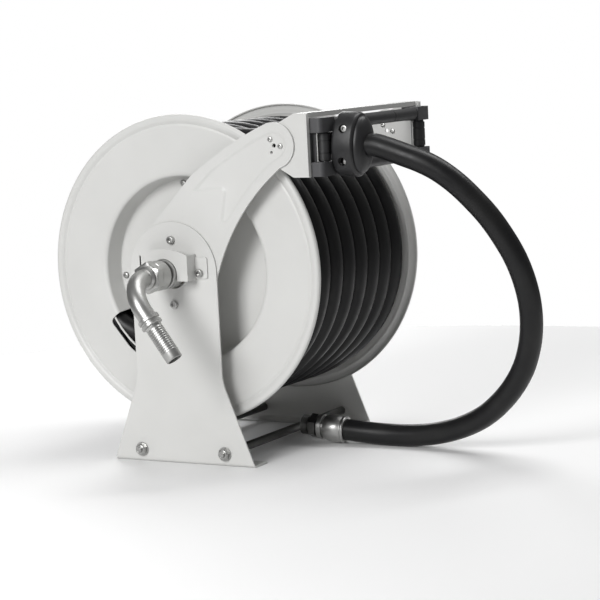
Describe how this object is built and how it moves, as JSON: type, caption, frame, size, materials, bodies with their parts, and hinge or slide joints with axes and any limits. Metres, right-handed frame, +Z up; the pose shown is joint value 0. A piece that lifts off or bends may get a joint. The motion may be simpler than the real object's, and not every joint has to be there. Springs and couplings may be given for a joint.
{
  "type": "spring rewind fire hose reel",
  "caption": "Open spring-rewind fire hose reel on two sheet-metal stands, with a swivel inlet, a roller guide and a black rubber hose.",
  "frame": {"origin": "middle of the reel's footprint on the floor, the free hose and its end fitting left out", "axes": "+X along the drum axis from the inlet side to the spring side, -Y the way the hose leaves the guide, +Z up from the floor"},
  "size_m": [0.559, 0.8164, 0.561],
  "materials": {
    "powder_coat": "very light grey powder coat, semi-matt",
    "hose_rubber": "black rubber with a soft sheen",
    "black_plastic": "black moulded plastic, fine grain",
    "grey_plastic": "dark grey moulded plastic",
    "zinc_plate": "bright zinc plating",
    "dark_steel": "dark oiled steel",
    "spring_steel": "blued spring steel",
    "bronze": "sintered bronze",
    "seal_rubber": "black nitrile"
  },
  "bodies": {
    "frame": {"stand_left": "powder_coat", "stand_right": "powder_coat", "arm_left": "powder_coat", "arm_right": "powder_coat", "guide_bracket": "powder_coat", "bearing_housing_left": "powder_coat", "swivel_bracket": "powder_coat", "hose_last_turn": "hose_rubber", "hose_free": "hose_rubber", "stop_half_left": "black_plastic", "stop_half_right": "black_plastic", "roller_carrier_left": "grey_plastic", "roller_carrier_right": "grey_plastic", "tie_bolt_front_left": "zinc_plate", "tie_bolt_front_right": "zinc_plate", "tie_bolt_rear_left": "zinc_plate", "tie_bolt_rear_right": "zinc_plate", "hub_screw_left_1": "zinc_plate", "hub_screw_left_2": "zinc_plate", "hub_screw_left_3": "zinc_plate", "hub_screw_left_4": "zinc_plate", "hub_screw_right_1": "zinc_plate", "hub_screw_right_2": "zinc_plate", "hub_screw_right_3": "zinc_plate", "hub_screw_right_4": "zinc_plate", "roller_pin_top": "zinc_plate", "roller_pin_bottom": "zinc_plate", "roller_pin_left": "zinc_plate", "roller_pin_right": "zinc_plate", "swivel_body": "zinc_plate", "swivel_nut": "zinc_plate", "inlet_elbow": "zinc_plate", "pawl_pivot": "zinc_plate", "stop_screw_upper": "zinc_plate", "stop_screw_lower": "zinc_plate", "hose_ferrule": "zinc_plate", "end_fitting": "zinc_plate", "tie_bar_front": "dark_steel", "tie_bar_rear": "dark_steel", "spring_arbor": "dark_steel", "pawl_spring": "spring_steel", "bearing_left": "bronze"},
    "drum": {"flange_left": "powder_coat", "flange_right": "powder_coat", "barrel": "powder_coat", "spring_cover": "powder_coat", "hose_pack": "hose_rubber", "drum_shaft": "zinc_plate", "spring_case": "dark_steel", "power_spring": "spring_steel", "ratchet_wheel": "dark_steel", "outlet_elbow": "zinc_plate", "feed_hose": "hose_rubber", "swivel_seal": "seal_rubber", "hub_bush_right": "bronze"},
    "roller_top_body": {"roller_top": "black_plastic"},
    "roller_bottom_body": {"roller_bottom": "black_plastic"},
    "roller_left_body": {"roller_left": "black_plastic"},
    "roller_right_body": {"roller_right": "black_plastic"},
    "pawl_body": {"pawl": "dark_steel"}
  },
  "joints": [
    {"name": "drum_spin", "type": "hinge", "parent": "frame", "child": "drum", "pos_m": [0.07825, 0.04179, 0.311], "axis": [1, 0, 0], "continuous": true},
    {"name": "roller_top_spin", "type": "hinge", "parent": "frame", "child": "roller_top_body", "pos_m": [0.07275, -0.22621, 0.538], "axis": [1, 0, 0], "continuous": true},
    {"name": "roller_bottom_spin", "type": "hinge", "parent": "frame", "child": "roller_bottom_body", "pos_m": [0.07275, -0.22621, 0.471], "axis": [1, 0, 0], "continuous": true},
    {"name": "roller_left_spin", "type": "hinge", "parent": "frame", "child": "roller_left_body", "pos_m": [-0.09135, -0.22621, 0.504], "axis": [0, 0, 1], "continuous": true},
    {"name": "roller_right_spin", "type": "hinge", "parent": "frame", "child": "roller_right_body", "pos_m": [0.23685, -0.22621, 0.504], "axis": [0, 0, 1], "continuous": true},
    {"name": "pawl_swing", "type": "hinge", "parent": "frame", "child": "pawl_body", "pos_m": [0.22475, 0.01979, 0.399], "axis": [1, 0, 0], "range_deg": [-20, 0], "stiffness_Nm_per_rad": 0.3}
  ]
}
